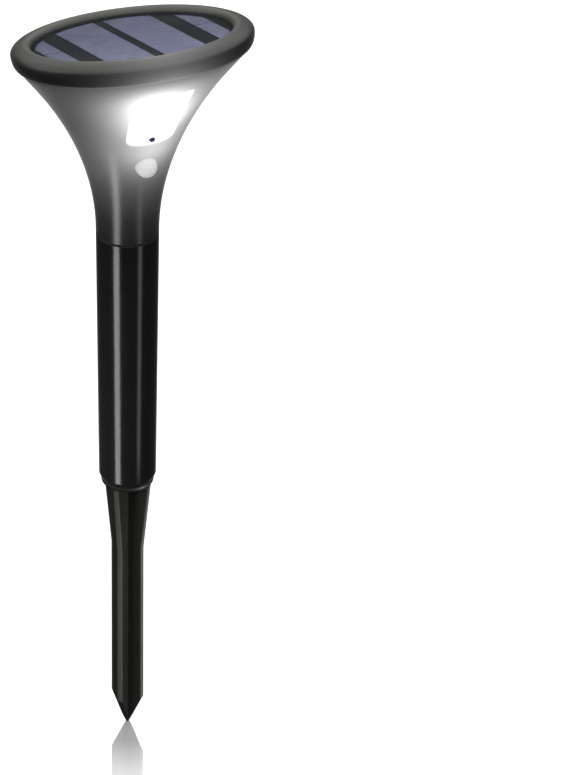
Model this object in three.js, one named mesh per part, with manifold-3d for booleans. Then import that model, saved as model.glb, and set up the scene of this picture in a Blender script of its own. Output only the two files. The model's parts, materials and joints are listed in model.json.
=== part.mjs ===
// Solar garden light: a ground spike, a pole and a horn-shaped head with a tilted round solar panel,
// a lit window, a motion sensor and a push button. Millimetres, +Z up, the lit side faces -Y.
// The origin is on the lamp's axis at the soil line, under the spike's collar.
import * as THREE from 'three';
import { mergeVertices } from 'three/addons/utils/BufferGeometryUtils.js';
import Module from 'manifold-3d';

const wasm = await Module();
wasm.setup();

// ---------------------------------------------------------------- driving dimensions
const gap = 0.3; // between neighbouring pieces
const slack = 0.15; // at the thin neck seal, which is squeezed in use
const sides = 40; // facets round a large turned piece

const spike = {
  length: 150, point: 18, finRadius: 8.6, flare: 40, finThick: 2.4, tipRadius: 0.7,
  turn: THREE.MathUtils.degToRad(40), collarInset: 1.2, finInset: 0.4, collarThick: 2, spigotLength: 22,
  spigotWall: 2,
};
const pole = { length: 143, taper: 1.2, wall: 1.8, chamfer: 2.6 };
const seal = { thick: 0.5, width: 1.3, inset: 0.4 };
const horn = {
  rimRadius: 55, crestHeight: 112.9, lean: THREE.MathUtils.degToRad(16.5), shift: 5, shiftPower: 5, wall: 2.3,
  spigotLength: 18, spigotWall: 1.5, shelf: 2,
};
// The ring's radii are measured from the horn's rim, and its heights from its own crest.
const ring = {
  overhang: 4, outerDrop: 4.5, crestInset: 3.7, lipInset: 6.3, lipDrop: 3.2, height: 11.8, wall: 2.2,
  floor: 2, pad: 1.7,
};
const panel = { drop: 2.4, cover: 1, cell: 0.3, board: 1.2 };
const cells = { gap: 5, width: 22.1, sideStart: 34.4, sideEnd: 43.5, sideSplit: 5, split: 0.9, edge: 1.6 };
const tongue = { width: 1.2, height: 2.4 };
const coverSealRadius = 0.6;
const coverScrew = { count: 4, rimInset: 14, radius: 1.4, length: 8, headRadius: 2.7, headHeight: 1.5 };
const boss = { radius: 3.4, depth: 12, ribThick: 2, ribReach: 16 };
const opening = {
  rimGap: 13.9, height: 38.5, bottomWidth: 25, topWidth: 31, corner: 4, flange: 1.8, seat: 1.5,
};
const reflector = { depth: 7, wall: 1.2, frontGap: 7.8, taper: 0.66 };
const ledBoard = { width: 24, height: 33, thick: 1.6 };
const led = { width: 3.5, length: 3.5, height: 1.2, pitchX: 8, pitchY: 8 };
const eye = { rise: 3.5, radius: 1.5, length: 6, proud: 1 }; // over the window's foot
const dome = {
  below: 15.5, radius: 5.3, rise: 5.8, wall: 0.8, flangeWidth: 1.2, flangeThick: 0.9, flangeSeat: 1.6,
}; // under the window's foot
const pirCan = { radius: 4.1, height: 3.8, rimRadius: 4.7, rimThick: 0.7 };
const sensorBoard = { edge: 2.2, height: 17, thick: 1.2, postRadius: 2, postGap: 0.8 };
const board = { width: 23, height: 38, thick: 1.6, y: 3, bottom: 18, railGrip: 1.6, railDepth: 4.6 };
const chip = { width: 10, height: 4, thick: 1.5, rise: 2 }; // over the board's middle
const button = {
  height: 30, radius: 4.6, proud: 1.2, thick: 7, flange: 6, flangeThick: 1, stem: 1.6, travel: 1.2,
};
const tact = { size: 6, thick: 3.5, plunger: 1.7, plungerLength: 1 };
const cell18650 = { radius: 9.25, length: 65, nubRadius: 2.8, nubHeight: 0.8, bevel: 0.6 };
const holder = { clearance: 0.85, wall: 1.6, topWall: 2, wireHole: 2.5, groove: 0.8, flangeThick: 1.5 };
const spring = { wire: 0.45, height: 6, turns: 4, lowInset: 2.25, highRadius: 3.4 };
const contact = { inset: 0.65, thick: 0.5 };
const cap = { disc: 1.8, plug: 3 };
const smallScrew = { radius: 0.8, headRadius: 1.8, headHeight: 1.2 };
const wireRadius = 0.55;

// ---------------------------------------------------------------- places worked out from them
// From the battery outwards: its holder, the head's spigot round that, and the pole round the spigot.
const holderBore = cell18650.radius + holder.clearance;
const holderRadius = holderBore + holder.wall;
const neckBore = holderRadius + gap;
const spigotRadius = neckBore + horn.spigotWall;
const neckRadius = spigotRadius + gap + pole.wall; // the pole's top and the horn's neck
const poleFootRadius = neckRadius - pole.taper;
const ringOuterRadius = horn.rimRadius + ring.overhang;
const crestRadius = horn.rimRadius - ring.crestInset;
const lipRadius = horn.rimRadius - ring.lipInset;
const screwCircle = horn.rimRadius - coverScrew.rimInset;
const tubeFoot = spike.collarThick + gap;
const tubeTop = tubeFoot + pole.length;
const sealBottom = tubeTop + slack;
const seamZ = sealBottom + seal.thick + slack; // underside of the horn's outer wall
const lidNormal = new THREE.Vector3(0, Math.sin(horn.lean), Math.cos(horn.lean));
const lidOrigin = new THREE.Vector3(0, -horn.shift, seamZ + horn.crestHeight);
const rimCentre = lidOrigin.clone().addScaledVector(lidNormal, -ring.height - gap);
const hornHeight = rimCentre.z - seamZ;
const openingTop = hornHeight + horn.rimRadius * Math.sin(horn.lean) - opening.rimGap; // over the seam
const openingBottom = openingTop - opening.height;
const cellTopGap = 2 * gap;

// ---------------------------------------------------------------- geometry helpers
function toSolid(geometry) {
  const bare = geometry.clone();
  bare.deleteAttribute('normal');
  bare.deleteAttribute('uv');
  const merged = mergeVertices(bare, 1e-4);
  const corners = merged.index.array;
  const kept = [];
  for (let i = 0; i < corners.length; i += 3) {
    const [a, b, c] = [corners[i], corners[i + 1], corners[i + 2]];
    if (a !== b && b !== c && c !== a) kept.push(a, b, c);
  }
  const vertProperties = new Float32Array(merged.attributes.position.array);
  return new wasm.Manifold(new wasm.Mesh({ numProp: 3, vertProperties, triVerts: new Uint32Array(kept) }));
}

function toGeometry(solid) {
  const mesh = solid.getMesh();
  const geometry = new THREE.BufferGeometry();
  geometry.setAttribute('position', new THREE.BufferAttribute(new Float32Array(mesh.vertProperties), 3));
  geometry.setIndex(new THREE.BufferAttribute(new Uint32Array(mesh.triVerts), 1));
  geometry.computeVertexNormals();
  return geometry;
}

const join = (first, ...rest) => rest.reduce((sum, next) => sum.add(next), first);
const cut = (first, ...rest) => rest.reduce((sum, next) => sum.subtract(next), first);

// A closed profile of [radius, height] pairs turned about +Z.
function turned(profile, segments = sides) {
  const points = profile.map(([radius, height]) => new THREE.Vector2(radius, height));
  points.push(points[0].clone());
  const geometry = new THREE.LatheGeometry(points, segments);
  geometry.rotateX(Math.PI / 2);
  return outward(geometry);
}

// Turns a geometry's faces outwards if its signed volume is negative.
function outward(geometry) {
  const flat = geometry.index ? geometry.toNonIndexed() : geometry;
  const at = flat.attributes.position;
  const [a, b, c] = [new THREE.Vector3(), new THREE.Vector3(), new THREE.Vector3()];
  let volume = 0;
  for (let i = 0; i < at.count; i += 3) {
    a.fromBufferAttribute(at, i);
    b.fromBufferAttribute(at, i + 1);
    c.fromBufferAttribute(at, i + 2);
    volume += a.dot(b.cross(c));
  }
  if (volume > 0) return geometry;
  const order = geometry.index.array;
  for (let i = 0; i < order.length; i += 3) [order[i], order[i + 1]] = [order[i + 1], order[i]];
  return geometry;
}

// A cylinder along +Z from low to high.
function rod(radius, low, high, segments = 16, topRadius = radius) {
  const geometry = new THREE.CylinderGeometry(topRadius, radius, high - low, segments);
  geometry.rotateX(Math.PI / 2);
  return geometry.translate(0, 0, (low + high) / 2);
}

function block(width, depth, height, x = 0, y = 0, z = 0) {
  return new THREE.BoxGeometry(width, depth, height).translate(x, y, z);
}

// A round cord through the given points.
function cord(points, radius = wireRadius, steps = 14) {
  const section = new THREE.Shape();
  section.absarc(0, 0, radius, 0, 2 * Math.PI);
  const extrudePath = new THREE.CatmullRomCurve3(points.map((point) => new THREE.Vector3(...point)));
  return new THREE.ExtrudeGeometry(section, { steps, extrudePath, curveSegments: 3, bevelEnabled: false });
}

function mesh(name, shape, material) {
  const geometry = shape.isBufferGeometry ? shape : toGeometry(shape);
  const node = new THREE.Mesh(geometry, new THREE.MeshStandardMaterial(material));
  node.name = name;
  return node;
}

// ---------------------------------------------------------------- colours
const blackPlastic = { color: 0x131314, roughness: 0.35, metalness: 0 };
const smokePlastic = { color: 0x3a3a3b, roughness: 0.4, metalness: 0 };
const spikePlastic = { color: 0x161616, roughness: 0.5, metalness: 0 };
const rubber = { color: 0x0b0b0b, roughness: 0.85, metalness: 0 };
const steel = { color: 0xb9bbbd, roughness: 0.35, metalness: 1 };
const clear = { color: 0xeef2f5, roughness: 0.1, metalness: 0, transparent: true, opacity: 0.4 };
const silicon = { color: 0x4b4c7a, roughness: 0.3, metalness: 0.2 };
const circuit = { color: 0x14402a, roughness: 0.5, metalness: 0 };
const whitePlastic = { color: 0xf2f2ee, roughness: 0.4, metalness: 0 };
const lampGlow = { color: 0xffffff, roughness: 0.3, metalness: 0, emissive: 0xffffff };
const darkBlue = { color: 0x1a2548, roughness: 0.25, metalness: 0 };
const milky = { color: 0xd9dadb, roughness: 0.4, metalness: 0 };
const batteryWrap = { color: 0x2a5fa8, roughness: 0.4, metalness: 0 };
const redWire = { color: 0xa01818, roughness: 0.5, metalness: 0 };
const blackWire = { color: 0x141414, roughness: 0.5, metalness: 0 };

// ---------------------------------------------------------------- ground spike
function spikeSolid() {
  const low = -spike.length;
  const shoulder = low + spike.point;
  const collarRadius = poleFootRadius - spike.collarInset;
  const finTop = collarRadius - spike.finInset;
  const outline = new THREE.Shape();
  outline.moveTo(-spike.tipRadius, low);
  outline.lineTo(spike.tipRadius, low);
  outline.lineTo(spike.finRadius, shoulder);
  outline.lineTo(spike.finRadius, -spike.flare);
  outline.lineTo(finTop, gap);
  outline.lineTo(-finTop, gap);
  outline.lineTo(-spike.finRadius, -spike.flare);
  outline.lineTo(-spike.finRadius, shoulder);
  const blades = [0, Math.PI / 2].map((turn) => {
    const blade = new THREE.ExtrudeGeometry(outline, { depth: spike.finThick, bevelEnabled: false });
    blade.translate(0, 0, -spike.finThick / 2);
    blade.rotateX(Math.PI / 2);
    blade.rotateZ(spike.turn + turn);
    return toSolid(blade);
  });
  const spigotTop = spike.collarThick + spike.spigotLength;
  const spigot = poleFootRadius - pole.wall - gap;
  const collar = turned([
    [0, 0], [collarRadius - 0.4, 0], [collarRadius, 0.4], [collarRadius, spike.collarThick - 0.4],
    [collarRadius - 0.4, spike.collarThick], [spigot, spike.collarThick],
    [spigot, spigotTop - 1.5], [spigot - 1, spigotTop], [spigot - spike.spigotWall, spigotTop],
    [spigot - spike.spigotWall, spike.collarThick + 1.5], [0, spike.collarThick + 1.5],
  ]);
  return join(toSolid(collar), ...blades);
}

// ---------------------------------------------------------------- pole
const poleRadius = (z) =>
  THREE.MathUtils.mapLinear(z, tubeFoot, tubeTop, poleFootRadius, neckRadius);

function poleGeometry() {
  const foot = poleRadius(tubeFoot + pole.chamfer);
  return turned([
    [foot - pole.chamfer * 0.5, tubeFoot], [foot - pole.chamfer * 0.16, tubeFoot + pole.chamfer * 0.4],
    [foot, tubeFoot + pole.chamfer], [neckRadius, tubeTop - 0.3], [neckRadius - 0.3, tubeTop],
    [neckRadius - pole.wall, tubeTop], [poleFootRadius - pole.wall, tubeFoot],
  ]);
}

function neckSealGeometry() {
  const outer = neckRadius - seal.inset;
  const top = sealBottom + seal.thick;
  return turned([
    [outer - seal.width, sealBottom], [outer, sealBottom], [outer, top], [outer - seal.width, top],
  ]);
}

// ---------------------------------------------------------------- horn of the head
// The horn's outline before it leans: a curve from the neck to the rim, as radius against height.
const flare = new THREE.CubicBezierCurve(
  new THREE.Vector2(neckRadius, 0),
  new THREE.Vector2(neckRadius, 0.555 * hornHeight),
  new THREE.Vector2(horn.rimRadius - 1.3, 0.94 * hornHeight),
  new THREE.Vector2(horn.rimRadius, hornHeight),
);
const flareSteps = 12;

// The curve moved inwards by a depth, from its lowest sample to its highest.
function flareInset(depth) {
  return Array.from({ length: flareSteps + 1 }, (_, i) => {
    const point = flare.getPoint(i / flareSteps);
    const tangent = flare.getTangent(i / flareSteps);
    return [point.x - tangent.y * depth, point.y + tangent.x * depth];
  });
}

// Leans an upright turned shape: each level shifts forwards and turns back as it nears the rim.
function leanPoint(x, y, height) {
  const share = THREE.MathUtils.clamp(height / hornHeight, 0, 1);
  const angle = horn.lean * share;
  const past = height - share * hornHeight;
  const middle = rimCentre.y * share ** horn.shiftPower;
  return [
    x,
    middle + y * Math.cos(angle) + past * Math.sin(angle),
    seamZ + share * hornHeight - y * Math.sin(angle) + past * Math.cos(angle),
  ];
}

function leaned(geometry) {
  const at = geometry.attributes.position;
  for (let i = 0; i < at.count; i += 1) at.setXYZ(i, ...leanPoint(at.getX(i), at.getY(i), at.getZ(i)));
  return geometry;
}

// A layer of the horn's wall between two depths under its outer face.
function hornLayer(outerDepth, innerDepth) {
  return leaned(turned([...flareInset(outerDepth), ...flareInset(innerDepth).reverse()]));
}

// Where the horn's outer face is at a height over the seam, in front (-1) or at the back (1).
function hornStation(height, side) {
  const surface = (share) => {
    const point = flare.getPoint(share);
    return new THREE.Vector3(...leanPoint(0, side * point.x, point.y));
  };
  let [low, high] = [0, 1];
  for (let i = 0; i < 40; i += 1) {
    const middle = (low + high) / 2;
    if (surface(middle).z < seamZ + height) low = middle;
    else high = middle;
  }
  const up = surface(low + 0.02).sub(surface(low - 0.02)).normalize();
  return { origin: surface(low), up };
}

// A frame on the horn's face: Z points out of the wall, Y up along it.
function hornFrame(height, side) {
  const { origin, up } = hornStation(height, side);
  const right = new THREE.Vector3(-side, 0, 0);
  const out = right.clone().cross(up);
  return new THREE.Matrix4().makeBasis(right, up, out).setPosition(origin);
}

const windowFrame = hornFrame((openingBottom + openingTop) / 2, -1);
const domeFrame = hornFrame(openingBottom - dome.below, -1);
const eyeFrame = hornFrame(openingBottom + eye.rise, -1);
const lidFrame = new THREE.Matrix4().makeRotationX(-horn.lean).setPosition(lidOrigin);
const buttonOrigin = hornStation(button.height, 1).origin;
const buttonFrame = new THREE.Matrix4().makeRotationX(-Math.PI / 2).setPosition(buttonOrigin);

// The window's outline, grown by an amount, through the wall.
function openingPrism(grow) {
  const low = hornStation(openingBottom, -1).origin;
  const high = hornStation(openingTop, -1).origin;
  const half = low.distanceTo(high) / 2 + grow;
  const [wide, narrow] = [opening.topWidth / 2 + grow, opening.bottomWidth / 2 + grow];
  const corner = opening.corner + grow;
  const outline = new THREE.Shape();
  outline.moveTo(-narrow + corner, -half);
  outline.lineTo(narrow - corner, -half);
  outline.quadraticCurveTo(narrow, -half, narrow + 0.3, -half + corner);
  outline.lineTo(wide - 0.3, half - corner);
  outline.quadraticCurveTo(wide, half, wide - corner, half);
  outline.lineTo(-wide + corner, half);
  outline.quadraticCurveTo(-wide, half, -wide + 0.3, half - corner);
  outline.lineTo(-narrow - 0.3, -half + corner);
  outline.quadraticCurveTo(-narrow, -half, -narrow + corner, -half);
  const prism = new THREE.ExtrudeGeometry(outline, { depth: 24, bevelEnabled: false, curveSegments: 4 });
  return toSolid(prism.translate(0, 0, -16).applyMatrix4(windowFrame));
}

const coverScrewSpots = Array.from({ length: coverScrew.count }, (_, i) => {
  const angle = ((i + 0.5) / coverScrew.count) * 2 * Math.PI;
  return [screwCircle * Math.cos(angle), screwCircle * Math.sin(angle)];
});
const headRecess = coverScrew.headHeight + gap;
const floorTop = -(panel.drop + panel.cover + panel.cell + panel.board + 3 * gap);
const padBottom = floorTop - ring.floor - ring.pad;
const domeFlange = dome.radius + dome.flangeWidth;
const domeFlangeFront = -horn.wall - dome.flangeSeat;
const postSpot = domeFlange + sensorBoard.postRadius + sensorBoard.postGap;
const postSpots = [-postSpot, postSpot];
const canTop = domeFlangeFront - dome.flangeThick - gap;
const sensorBoardFront = canTop - pirCan.height - gap;

function headShellSolid() {
  const inner = flareInset(horn.wall).filter(([, height]) => height > horn.shelf + 0.5);
  const rim = hornHeight;
  const tongueOuter = horn.rimRadius - ring.wall - gap;
  const tongueInner = tongueOuter - tongue.width;
  const wall = leaned(turned([
    [spigotRadius - 0.6, -horn.spigotLength], [spigotRadius, -horn.spigotLength + 0.8], [spigotRadius, 0],
    ...flareInset(0), [tongueOuter, rim], [tongueOuter, rim + tongue.height],
    [tongueInner, rim + tongue.height], [tongueInner, rim - 1], ...inner.reverse().slice(1),
    [neckRadius - horn.wall, horn.shelf], [neckBore, horn.shelf], [neckBore, -horn.spigotLength],
  ]));
  const filled = toSolid(leaned(turned([[0, 0], ...flareInset(0.4), [0, rim]])));
  const inLid = (geometry) => toSolid(geometry.applyMatrix4(lidFrame));
  const bossTop = padBottom - gap;
  const bosses = coverScrewSpots.map(([x, y]) => {
    const rib = block(boss.ribReach, boss.ribThick, boss.depth, boss.ribReach / 2, 0, 0);
    rib.rotateZ(Math.atan2(y, x)).translate(x, y, bossTop - boss.depth / 2);
    const post = rod(boss.radius, bossTop - boss.depth, bossTop).translate(x, y, 0);
    return join(inLid(post), inLid(rib)).intersect(filled);
  });
  const pilots = coverScrewSpots.map(([x, y]) => inLid(
    rod(coverScrew.radius + gap, bossTop - coverScrew.length, bossTop + 1, 12).translate(x, y, 0)));
  const railReach = 12;
  const railLength = board.height - 2;
  const railMiddle = seamZ + board.bottom + board.height / 2;
  const rails = [-1, 1].map((side) => {
    const x = side * (board.width / 2 - board.railGrip + railReach / 2);
    return toSolid(block(railReach, board.railDepth, railLength, x, board.y, railMiddle)).intersect(filled);
  });
  const boardSlot = toSolid(block(board.width + 2 * gap, board.thick + 2 * gap, board.height + 2 * gap,
    0, board.y, railMiddle));
  const inDome = (geometry) => toSolid(geometry.applyMatrix4(domeFrame));
  const posts = postSpots.map((x) =>
    inDome(rod(sensorBoard.postRadius, sensorBoardFront + gap, -1, 16).translate(x, 0, 0)).intersect(filled));
  const postHoles = postSpots.map((x) =>
    inDome(rod(smallScrew.radius + gap, sensorBoardFront, -5, 10).translate(x, 0, 0)));
  const buttonHole = toSolid(rod(button.radius + gap, -12, 12, 24).applyMatrix4(buttonFrame));
  return cut(join(toSolid(wall), ...bosses, ...rails, ...posts), ...pilots, boardSlot, ...postHoles,
    openingPrism(0), inDome(rod(dome.radius + gap, -8, 8, 24)), buttonHole);
}

function windowLensSolid() {
  const back = horn.wall + opening.seat;
  const plug = toSolid(hornLayer(0, back)).intersect(openingPrism(-gap));
  const flange = toSolid(hornLayer(horn.wall + gap, back)).intersect(openingPrism(opening.flange));
  const eyeHole = rod(eye.radius + gap, -10, 6, 16).applyMatrix4(eyeFrame);
  return cut(join(plug, flange), toSolid(eyeHole));
}

// ---------------------------------------------------------------- lid with the solar panel
// The lid's pieces stand in its own frame, whose Z is the panel's normal and whose zero is the ring's crest.
function arc(from, to, centre, radii, count) {
  return Array.from({ length: count + 1 }, (_, i) => {
    const angle = THREE.MathUtils.lerp(from, to, i / count);
    return [centre[0] + radii[0] * Math.cos(angle), centre[1] + radii[1] * Math.sin(angle)];
  });
}

function topCoverSolid() {
  const quarter = Math.PI / 2;
  const reach = ringOuterRadius - crestRadius;
  const under = ring.height - ring.outerDrop;
  const outside = [
    ...arc(2 * quarter, quarter, [crestRadius, -ring.lipDrop], [crestRadius - lipRadius, ring.lipDrop], 3),
    ...arc(quarter, 0, [crestRadius, -ring.outerDrop], [reach, ring.outerDrop], 5).slice(1),
    ...arc(0, -quarter, [horn.rimRadius, -ring.outerDrop], [ring.overhang, under], 5).slice(1),
  ];
  const insideFoot = horn.rimRadius - ring.wall;
  const wallOuter = lipRadius + ring.wall;
  const inside = [
    [insideFoot, -ring.height],
    ...arc(-quarter, 0, [insideFoot, -ring.outerDrop], [ring.overhang, under - ring.wall], 3),
    ...arc(0, quarter, [wallOuter + 1, -ring.outerDrop],
      [ringOuterRadius - ring.wall - wallOuter - 1, ring.outerDrop - ring.wall], 3).slice(1),
    [wallOuter, -ring.wall - 0.6],
  ];
  const floorBottom = floorTop - ring.floor;
  const dish = [[wallOuter, floorBottom], [0, floorBottom], [0, floorTop], [lipRadius, floorTop]];
  const body = turned([...outside, ...inside, ...dish]);
  const pads = coverScrewSpots.map(([x, y]) =>
    toSolid(rod(boss.radius, padBottom, floorTop - 0.5).translate(x, y, 0)));
  const holes = coverScrewSpots.flatMap(([x, y]) => [
    toSolid(rod(coverScrew.headRadius + gap, floorTop - headRecess, 0, 16).translate(x, y, 0)),
    toSolid(rod(coverScrew.radius + gap, padBottom - 1, 0, 12).translate(x, y, 0)),
  ]);
  return cut(join(toSolid(body), ...pads), ...holes, toSolid(rod(3.5, floorBottom - 1, 0)));
}

function coverScrewGeometry(x, y) {
  const head = floorTop - gap;
  const seat = head - coverScrew.headHeight;
  const { radius, headRadius } = coverScrew;
  return turned([
    [0, seat - coverScrew.length + 2], [radius * 0.4, seat - coverScrew.length + 2],
    [radius, seat - coverScrew.length + 4], [radius, seat], [headRadius, seat], [headRadius, head - 0.5],
    [headRadius - 0.6, head], [0, head],
  ], 16).translate(x, y, 0);
}

function coverSealGeometry() {
  const middle = horn.rimRadius - ring.wall - gap - tongue.width / 2;
  const height = -ring.height - gap + tongue.height + gap + coverSealRadius;
  return outward(new THREE.TorusGeometry(middle, coverSealRadius, 6, sides).translate(0, 0, height));
}

// A flat layer of the panel, cut from the round panel between two lines across and two along.
function panelPiece(xLow, xHigh, yLow, yHigh, radius, top, thick) {
  const disc = toSolid(rod(radius, top - thick, top, sides));
  const wide = block(xHigh - xLow, yHigh - yLow, thick + 2, (xLow + xHigh) / 2, (yLow + yHigh) / 2, top);
  return disc.intersect(toSolid(wide));
}

const panelRadius = lipRadius - gap;
const cellTop = -(panel.drop + panel.cover + gap);
const cellRadius = panelRadius - cells.edge;
const mainStart = cells.gap / 2;
const mainEnd = mainStart + cells.width;
const cellPlan = [
  ['solar_cell_left', -mainEnd, -mainStart, -60, 60],
  ['solar_cell_right', mainStart, mainEnd, -60, 60],
  ['side_cell_left_front', -cells.sideEnd, -cells.sideStart, -60, cells.sideSplit - cells.split / 2],
  ['side_cell_left_back', -cells.sideEnd, -cells.sideStart, cells.sideSplit + cells.split / 2, 60],
  ['side_cell_right_front', cells.sideStart, cells.sideEnd, -60, cells.sideSplit - cells.split / 2],
  ['side_cell_right_back', cells.sideStart, cells.sideEnd, cells.sideSplit + cells.split / 2, 60],
];

// ---------------------------------------------------------------- light unit behind the window
const reflectorFront = -reflector.frontGap;
const reflectorBack = reflectorFront - reflector.depth;
const ledBoardFront = reflectorBack - gap;
const ledScrewSpots = [-1, 1].map((side) => side * (ledBoard.height / 2 - 3));

// The room inside the horn's wall, seen from the window's frame.
const inHorn = toSolid(leaned(turned([[0, 0], ...flareInset(horn.wall + gap), [0, hornHeight]]))
  .applyMatrix4(windowFrame.clone().invert()));

function reflectorSolid() {
  const frontWide = opening.bottomWidth / 2 + 2;
  const frontTall = opening.height / 2 + 1;
  const funnel = (grow, low, high, share) => {
    const shape = new THREE.CylinderGeometry(Math.SQRT2, Math.SQRT2 * share, high - low, 4, 1);
    shape.rotateY(Math.PI / 4).rotateX(Math.PI / 2).translate(0, 0, (low + high) / 2);
    return toSolid(shape.scale(frontWide + grow, frontTall + grow, 1));
  };
  const { wall, taper } = reflector;
  const tabRadius = smallScrew.radius + gap + 1.1;
  const tabs = ledScrewSpots.map((y) =>
    toSolid(rod(tabRadius, reflectorBack, reflectorBack + 3).translate(0, y, 0)));
  const pilots = ledScrewSpots.map((y) =>
    toSolid(rod(smallScrew.radius + gap, reflectorBack - 1, reflectorBack + 2.2, 10).translate(0, y, 0)));
  const bowl = funnel(0, reflectorBack - 1, reflectorFront + 1, taper);
  const shell = funnel(wall, reflectorBack, reflectorFront, taper);
  return cut(join(cut(shell, bowl), ...tabs), ...pilots).intersect(inHorn);
}

function screwDown(x, y, seat, length) {
  const { radius, headRadius, headHeight } = smallScrew;
  return turned([
    [0, seat - headHeight], [headRadius - 0.4, seat - headHeight], [headRadius, seat - headHeight + 0.4],
    [headRadius, seat], [radius, seat], [radius, seat + length - 1], [0, seat + length],
  ], 14).translate(x, y, 0);
}

function ledBoardSolid() {
  const middle = ledBoardFront - ledBoard.thick / 2;
  const holes = ledScrewSpots.map((y) =>
    toSolid(rod(smallScrew.radius + gap, ledBoardFront - 4, ledBoardFront + 1, 10).translate(0, y, 0)));
  return cut(toSolid(block(ledBoard.width, ledBoard.height, ledBoard.thick, 0, 0, middle)), ...holes);
}

const ledSpots = [[-1, 1], [1, 1], [-1, -1], [1, -1]]
  .map(([x, y]) => [x * led.pitchX / 2, y * led.pitchY / 2]);

// ---------------------------------------------------------------- sensors
function domeGeometry() {
  const front = domeFlangeFront;
  const back = front - dome.flangeThick;
  const outer = arc(0, Math.PI / 2, [0, 0], [dome.radius, dome.rise], 5);
  const inner = arc(Math.PI / 2, 0, [0, 0], [dome.radius - dome.wall, dome.rise - dome.wall], 4);
  return turned([
    [domeFlange, back], [domeFlange, front], [dome.radius, front], ...outer.slice(0, -1), [0, dome.rise],
    ...inner, [dome.radius - dome.wall, back],
  ], 24);
}

function pirSensorGeometry() {
  const low = canTop - pirCan.height;
  return turned([
    [0, low], [pirCan.rimRadius, low], [pirCan.rimRadius, low + pirCan.rimThick],
    [pirCan.radius, low + pirCan.rimThick], [pirCan.radius, canTop - 0.4], [pirCan.radius - 0.4, canTop],
    [0, canTop],
  ], 20);
}

function sensorBoardSolid() {
  const middle = sensorBoardFront - sensorBoard.thick / 2;
  const holes = postSpots.map((x) =>
    toSolid(rod(smallScrew.radius + gap, middle - 2, middle + 2, 10).translate(x, 0, 0)));
  const plate = block(2 * (postSpot + sensorBoard.edge), sensorBoard.height, sensorBoard.thick, 0, 0, middle);
  return cut(toSolid(plate), ...holes);
}

function eyeGeometry() {
  const { radius, length, proud } = eye;
  return turned([
    [0, -length], [radius, -length], [radius, proud - 0.8], [radius * 0.7, proud - 0.2], [0, proud],
  ], 16);
}

// ---------------------------------------------------------------- control board and button
const boardBack = board.y + board.thick / 2;
const boardFront = board.y - board.thick / 2;
const boardMiddle = seamZ + board.bottom + board.height / 2;
const tactY = boardBack + gap + tact.thick / 2;
const plungerEnd = boardBack + gap + tact.thick + tact.plungerLength;

function tactSolid() {
  const plunger = rod(tact.plunger, 0, tact.thick / 2 + tact.plungerLength, 16).rotateX(-Math.PI / 2);
  const body = toSolid(block(tact.size, tact.thick, tact.size));
  return join(body, toSolid(plunger)).translate([0, tactY, buttonOrigin.z]);
}

function buttonGeometry() {
  const { radius, proud, thick, flange, flangeThick, stem, travel } = button;
  const seat = proud - thick;
  const back = seat - flangeThick;
  const stemEnd = plungerEnd + gap + travel - buttonOrigin.y;
  return turned([
    [0, stemEnd], [stem, stemEnd], [stem, back], [flange, back], [flange, seat], [radius, seat],
    [radius, proud - 0.7], [radius - 0.6, proud - 0.15], [radius - 2, proud], [0, proud - 0.35],
  ], 24);
}

// ---------------------------------------------------------------- battery
const flangeBottom = seamZ + horn.shelf + gap;
const holderTop = flangeBottom + holder.flangeThick;
const contactTop = holderTop - holder.topWall - gap;
const cellTopZ = contactTop - contact.thick - cellTopGap;
const cellFoot = cellTopZ - cell18650.length;
const springFoot = cellFoot - gap - spring.height;
const plugTop = springFoot - gap;
const holderFoot = plugTop - cap.plug;
const grooveRadius = cell18650.radius + gap + wireRadius;

function holderSolid() {
  const flange = neckRadius - horn.wall - gap;
  const ceiling = holderTop - holder.topWall;
  const tube = turned([
    [holderBore, holderFoot], [holderRadius, holderFoot], [holderRadius, flangeBottom],
    [flange, flangeBottom], [flange, holderTop], [holder.wireHole, holderTop], [holder.wireHole, ceiling],
    [holderBore, ceiling],
  ], 28);
  const groove = rod(holder.groove, plugTop, holderTop + 1, 12).translate(-grooveRadius, 0, 0);
  return cut(toSolid(tube), toSolid(groove));
}

function batteryGeometry() {
  const { radius, bevel, nubRadius, nubHeight } = cell18650;
  const shoulder = cellTopZ - nubHeight;
  return turned([
    [0, cellFoot], [radius - bevel, cellFoot], [radius, cellFoot + bevel], [radius, shoulder - bevel],
    [radius - bevel, shoulder], [nubRadius, shoulder], [nubRadius, cellTopZ - 0.2],
    [nubRadius - 0.2, cellTopZ], [0, cellTopZ],
  ], 24);
}

function springGeometry() {
  const low = springFoot + spring.wire;
  const rise = spring.height - 2 * spring.wire;
  const lowRadius = cell18650.radius - spring.lowInset;
  const points = Array.from({ length: spring.turns * 8 + 1 }, (_, i) => {
    const share = i / (spring.turns * 8);
    const angle = share * spring.turns * 2 * Math.PI;
    const radius = THREE.MathUtils.lerp(lowRadius, spring.highRadius, share);
    return [radius * Math.cos(angle), radius * Math.sin(angle), low + rise * share];
  });
  return cord(points, spring.wire, spring.turns * 11);
}

function batteryCapGeometry() {
  return turned([
    [0, holderFoot - gap - cap.disc], [holderRadius - 0.6, holderFoot - gap - cap.disc],
    [holderRadius, holderFoot - gap - cap.disc + 0.6], [holderRadius, holderFoot - gap],
    [holderBore - gap, holderFoot - gap], [holderBore - gap, plugTop], [0, plugTop],
  ], 28);
}

// ---------------------------------------------------------------- wires inside the head
const place = (frame, x, y, z) => new THREE.Vector3(x, y, z).applyMatrix4(frame).toArray();
const wireFace = boardFront - gap - wireRadius;

function panelWire(side) {
  const start = -(panel.drop + panel.cover + panel.cell + panel.board + 3 * gap);
  const top = seamZ + board.bottom + board.height;
  return cord([
    place(lidFrame, side * 1.5, 0, start), place(lidFrame, side * 1.5, 0, start - 6),
    [side * 2.5, -6, top + 18], [side * 3.5, wireFace - 1, top + 4], [side * 3.5, wireFace, top - 5],
  ]);
}

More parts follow.
